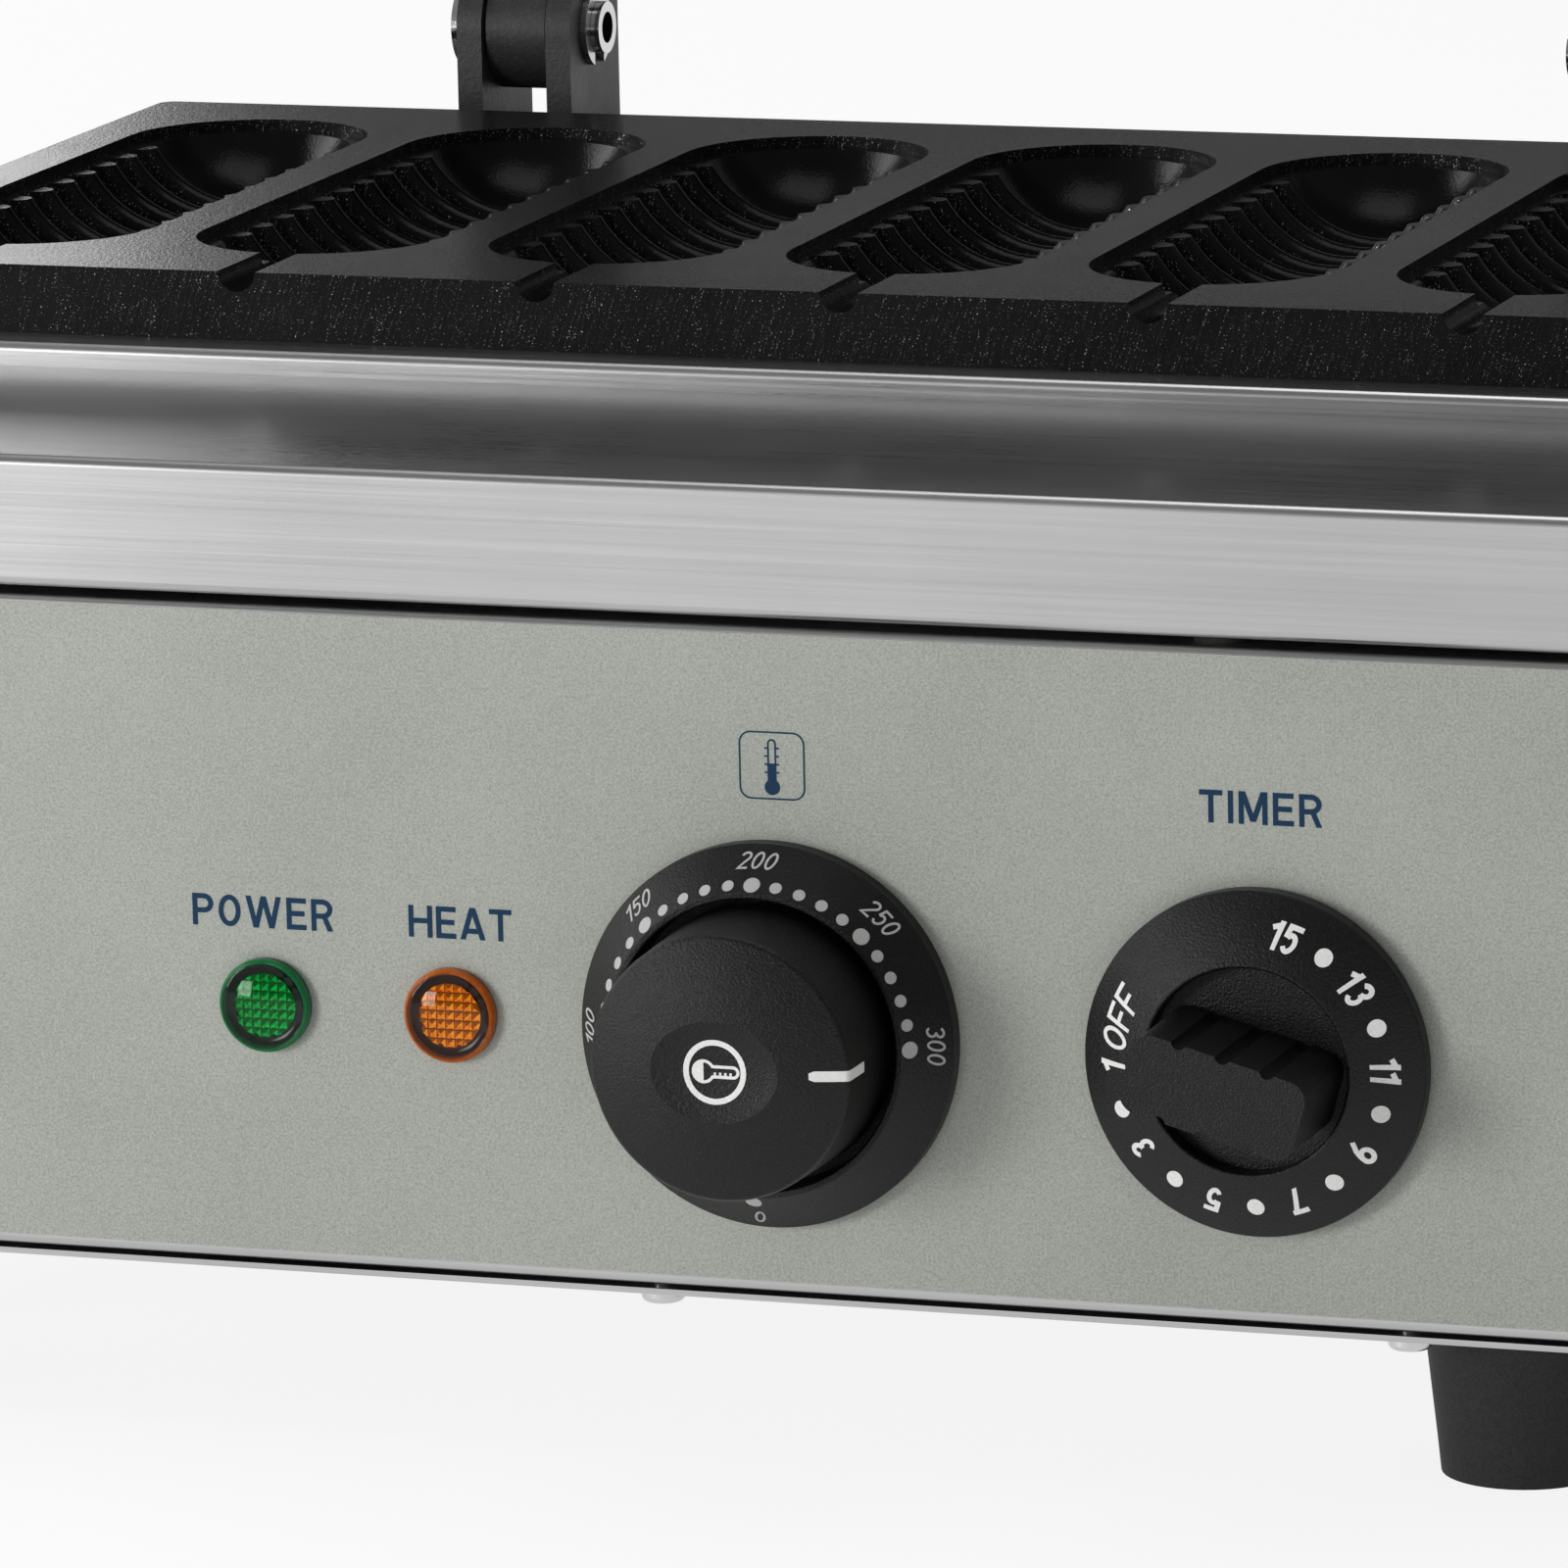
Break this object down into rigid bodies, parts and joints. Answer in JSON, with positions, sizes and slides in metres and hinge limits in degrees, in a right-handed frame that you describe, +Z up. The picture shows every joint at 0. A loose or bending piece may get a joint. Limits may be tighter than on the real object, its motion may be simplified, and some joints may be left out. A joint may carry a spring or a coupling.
{
  "type": "stick waffle maker",
  "caption": "Counter-top electric waffle maker with ribbed troughs for waffles on sticks, a hinged lid with a handle, and a front panel with lamps, thermostat dial and timer.",
  "frame": {"origin": "floor under the middle of the machine's box, lid open", "axes": "+Z up, the control panel faces -Y, +X to the right of someone facing the panel"},
  "size_m": [0.39, 0.3958, 0.4953],
  "materials": {
    "stainless": "fine horizontal brushing",
    "overlay_film": "grey metallic film with a fine sparkle",
    "fastener_steel": "bright zinc plating",
    "coated_plate": "black non-stick coating on cast aluminium",
    "bright_steel": "polished",
    "hinge_steel": "black powder coating",
    "element_steel": "heat-dulled steel",
    "mineral_board": "pressed mineral fibre",
    "foot_rubber": "moulded rubber",
    "spacer_fibre": "black fibre washer",
    "knob_plastic": "fine-grained black moulding",
    "grip_plastic": "moulded phenolic",
    "control_plastic": "pale moulded housing",
    "gland_plastic": "moulded nylon",
    "copper": "drawn copper and bronze",
    "green_lens": "clear tinted moulding",
    "orange_lens": "clear tinted moulding"
  },
  "bodies": {
    "base": {"casing": "stainless", "panel_overlay": "overlay_film", "deck": "stainless", "rear_panel": "stainless", "rear_screws": "fastener_steel", "bottom_cover": "stainless", "bottom_screws": "fastener_steel", "deck_spacers": "spacer_fibre", "deck_screws": "fastener_steel", "rubber_feet": "foot_rubber", "foot_screws": "fastener_steel", "foot_nuts": "fastener_steel", "lower_plate": "coated_plate", "lower_plate_bolts": "fastener_steel", "lower_element": "element_steel", "lower_clamp_bars": "element_steel", "lower_clamp_bolts": "fastener_steel", "lower_insulation": "mineral_board", "heat_tray": "element_steel", "thermostat_body": "control_plastic", "thermostat_screws": "fastener_steel", "thermostat_bulb": "copper", "thermostat_bezel": "knob_plastic", "timer_body": "control_plastic", "timer_screws": "fastener_steel", "power_lamp_lens": "green_lens", "heat_lamp_lens": "orange_lens", "power_lamp_body": "control_plastic", "heat_lamp_body": "control_plastic", "lamp_clips": "fastener_steel", "terminal_block": "control_plastic", "cable_gland": "gland_plastic", "gland_nut": "gland_plastic", "hinge_bracket_left": "hinge_steel", "hinge_bracket_right": "hinge_steel", "hinge_pins": "bright_steel", "hinge_clips": "fastener_steel", "hinge_bolts": "fastener_steel", "hinge_nuts": "fastener_steel"},
    "lid": {"lid_cover": "stainless", "upper_plate": "coated_plate", "upper_plate_bolts": "fastener_steel", "upper_element": "element_steel", "upper_clamp_bars": "element_steel", "upper_clamp_bolts": "fastener_steel", "upper_insulation": "mineral_board", "hinge_arm_left": "hinge_steel", "hinge_arm_right": "hinge_steel", "hinge_bushes": "copper", "arm_bolts": "fastener_steel", "arm_nuts": "fastener_steel", "handle_posts": "bright_steel", "handle_nuts": "fastener_steel", "handle_grip": "grip_plastic", "handle_bolts": "fastener_steel"},
    "thermostat_dial": {"thermostat_knob": "knob_plastic", "thermostat_spindle": "bright_steel"},
    "timer_dial": {"timer_knob": "knob_plastic", "timer_spindle": "bright_steel"}
  },
  "joints": [
    {"name": "lid_hinge", "type": "hinge", "parent": "base", "child": "lid", "pos_m": [0, 0.14893, 0.1918], "axis": [1, 0, 0], "range_deg": [0, 90]},
    {"name": "thermostat_turn", "type": "hinge", "parent": "base", "child": "thermostat_dial", "pos_m": [0.0439, -0.16792, 0.074], "axis": [0, -1, 0], "range_deg": [0, 270]},
    {"name": "timer_turn", "type": "hinge", "parent": "base", "child": "timer_dial", "pos_m": [0.1274, -0.16792, 0.074], "axis": [0, 1, 0], "range_deg": [0, 270]}
  ]
}
